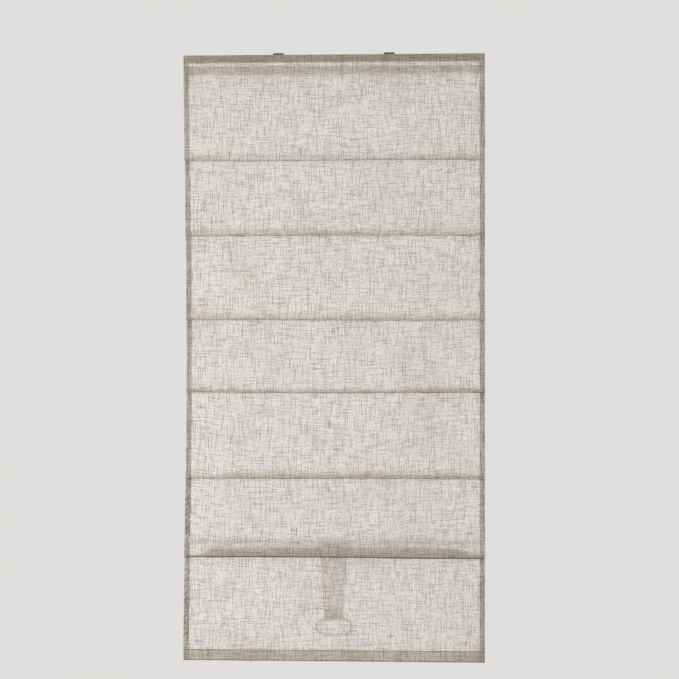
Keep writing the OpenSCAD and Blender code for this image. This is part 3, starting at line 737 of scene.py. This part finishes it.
def tabPath():
    # side view of the ribbon, from its sewn end behind the bar to its sewn end above the ring
    barY, ringY = boxMiddle(liftBarBox, "y"), boxMiddle(ringBox, "y")
    ringZ = ringBox[1].z / mm - tab["wireRadius"]
    barRadius = boxRadius(liftBarBox) + tab["room"]
    ringRadius = tab["wireRadius"] + tab["room"]
    front, ringFront = barY - barRadius, ringY - ringRadius
    back, low = front + tab["layer"], barZ - tab["backEnd"]
    sewnTop = low + tab["backStep"] * tab["backRows"]
    points = straightPoints((back, low), (back, sewnTop), tab["backRows"], first=0)
    points += roundPoints(barY, barZ, barRadius, tab["barStart"], tab["barEnd"], tab["roundRows"], first=0)
    points += straightPoints((front, barZ), (ringFront, ringZ), tab["fallRows"])
    points += roundPoints(ringY, ringZ, ringRadius, tab["ringStart"], tab["ringEnd"], tab["roundRows"])
    inner = ringFront + tab["layer"]
    end = straightPoints((inner, ringZ), (inner, ringZ + tab["endBand"]), tab["endRows"])
    return points + end


def makeTab():
    points = tabPath()
    rows = len(points)
    lengths = pathLengths(points)
    heights = [z for y, z in points]
    low, high = min(heights), max(heights)
    bm = bmesh.new()
    bmesh.ops.create_grid(bm, x_segments=tab["columns"], y_segments=rows - 1, size=1)
    measure = {}
    for vert in bm.verts:
        j = round((1 - vert.co.y) / 2 * (rows - 1))
        y, z = points[j]
        width = tab["endWidth"] + (tab["topWidth"] - tab["endWidth"]) * (z - low) / (high - low)
        measure[vert] = (vert.co.x * width / 2 * mm, -lengths[j] * mm)
        vert.co = Vector((vert.co.x * width / 2, y, z)) * mm
    layWeave(bm, measure)
    piece = finishMesh("pullTab", bm, ribbon)
    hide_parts("pull_tab")
    return piece


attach(makeTab(), "lift_bar")
print("pull tab sewn")


# lift cords from the spools to the anchors on the bar
liftCord = {"radius": 0.6, "sides": 10, "steps": 40}


def stretchCord(name, node):
    low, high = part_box(node)
    x, y = (low.x + high.x) / 2, (low.y + high.y) / 2
    bm = bmesh.new()
    ring = bmesh.ops.create_circle(bm, segments=liftCord["sides"], radius=liftCord["radius"] * mm,
                                   matrix=Matrix.Translation((x, y, low.z)))
    edges = list({edge for vert in ring["verts"] for edge in vert.link_edges})
    for i in range(liftCord["steps"]):
        made = bmesh.ops.extrude_edge_only(bm, edges=edges)["geom"]
        verts = [g for g in made if isinstance(g, bmesh.types.BMVert)]
        bmesh.ops.translate(bm, verts=verts, vec=(0, 0, (high.z - low.z) / liftCord["steps"]))
        edges = [g for g in made if isinstance(g, bmesh.types.BMEdge) and all(v in verts for v in g.verts)]
    bmesh.ops.recalc_face_normals(bm, faces=bm.faces)
    piece = finishMesh(name, bm, braid)
    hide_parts(node)
    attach(piece, "headrail")
    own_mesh(piece)


stretchCord("liftCordLeft", "lift_cord_left")
stretchCord("liftCordRight", "lift_cord_right")
print("lift cords stretched")

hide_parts("shade_cloth")
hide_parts("skirt_cloth")
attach(shadeCloth, "headrail")
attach(shadowBandMesh, "headrail")
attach(foldShadowStitches, "headrail")
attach(skirtShadowStitches, "lift_bar")
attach(headCloth, "headrail")
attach(skirtCloth, "lift_bar")
for piece in (shadeCloth, shadowBandMesh, foldShadowStitches):
    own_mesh(piece)
print("cloth rides")


# finishes of the hard parts, by how their names start; tips and the rest are moulded
finishes = {
    "head_rail": coatedAluminium, "bottom_bar": fibreglass,
    "bracket": zincSteelPaintedShade, "latch": zincSteelPaintedShade, "rivet": zincSteelPaintedShade,
    "hook_tape": pileTapeAndShade, "loop_tape": pileTapeAndShade,
    "drive_spring": springSteel, "lift_shaft": drawnSteel, "lift_bar": drawnSteel,
    "pull_ring": ringPlastic, "cord_turns": braid, "lift_cord": braid,
    "shade_cloth": linen, "skirt_cloth": linen, "pull_tab": ribbon,
}
for name, node in cadNodes.items():
    chosen = mouldedPlastic
    if name.startswith("rod_") and "tips" not in name:
        chosen = fibreglass
    for start, finish in finishes.items():
        if name.startswith(start) and not name.endswith("tips"):
            chosen = finish
    node.data.materials.clear()
    node.data.materials.append(chosen)
print("hard parts finished")


# studio: a pale floor that fades into even pale air, one soft lamp in front and one behind; metres and watts
stage = {"floorZ": -2.15, "floorSize": 9.0, "floor": "#DDDBD7", "floorRough": 0.9, "floorGloss": 0.1,
         "air": "#E0DFDD", "airStrength": 1.0, "fadeFrom": 1.2, "fadeTo": 1.9, "lampAim": (0, 0, -0.9)}
lamps = {"frontLamp": {"place": (-2.2, -2.6, -0.8), "size": 2.0, "power": 44},
         "backLamp": {"place": (-1.1, 2.8, -1.3), "size": 2.2, "power": 48}}


def makeFloor():
    material, tree = newMaterial("studioFloor")
    place = addNode(tree, "ShaderNodeTexCoord").outputs["Object"]
    flat = addNode(tree, "ShaderNodeMapping", {"Vector": place, "Scale": (1, 1, 0)}).outputs["Vector"]
    away = addNode(tree, "ShaderNodeVectorMath", {0: flat}, operation="LENGTH").outputs["Value"]
    fade = addNode(tree, "ShaderNodeMapRange", {"Value": away, "From Min": stage["fadeFrom"],
                                                "From Max": stage["fadeTo"]}).outputs["Result"]
    seen = addNode(tree, "ShaderNodeLightPath")
    rays = seen.outputs["Is Camera Ray"]
    for kind in ("Is Glossy Ray", "Is Transmission Ray"):
        rays = addNode(tree, "ShaderNodeMath", {0: rays, 1: seen.outputs[kind]},
                       operation="MAXIMUM").outputs["Value"]
    share = addNode(tree, "ShaderNodeMath", {0: fade, 1: rays}, operation="MULTIPLY").outputs["Value"]
    paint = addNode(tree, "ShaderNodeBsdfPrincipled", {"Base Color": srgb(stage["floor"]),
                                                       "Roughness": stage["floorRough"],
                                                       "Specular IOR Level": stage["floorGloss"]})
    air = addNode(tree, "ShaderNodeEmission", {"Color": srgb(stage["air"]), "Strength": stage["airStrength"]})
    both = addNode(tree, "ShaderNodeMixShader", {"Fac": share, 1: paint.outputs["BSDF"],
                                                 2: air.outputs["Emission"]})
    endMaterial(tree, both.outputs["Shader"])
    bm = bmesh.new()
    bmesh.ops.create_grid(bm, x_segments=2, y_segments=2, size=stage["floorSize"],
                          matrix=Matrix.Translation((0, 0, stage["floorZ"])))
    finishMesh("floor", bm, material)


def makeAir():
    world = bpy.data.worlds.new("studioAir")
    world.use_nodes = True
    tree = world.node_tree
    tree.nodes.clear()
    glow = addNode(tree, "ShaderNodeBackground", {"Color": srgb(stage["air"]),
                                                  "Strength": stage["airStrength"]})
    addNode(tree, "ShaderNodeOutputWorld", {"Surface": glow.outputs["Background"]})
    bpy.context.scene.world = world


def addLamp(name, place, size, power):
    data = bpy.data.lights.new(name, "AREA")
    data.shape = "RECTANGLE"
    data.size, data.size_y = size, size
    data.energy = power
    lamp = bpy.data.objects.new(name, data)
    lamp.location = place
    lamp.rotation_euler = (Vector(stage["lampAim"]) - lamp.location).to_track_quat("-Z", "Y").to_euler()
    lamp.visible_camera = False
    bpy.context.collection.objects.link(lamp)


makeFloor()
makeAir()
for name, lamp in lamps.items():
    addLamp(name, **lamp)
bpy.context.scene.view_settings.view_transform = "Standard"
print("studio lit")
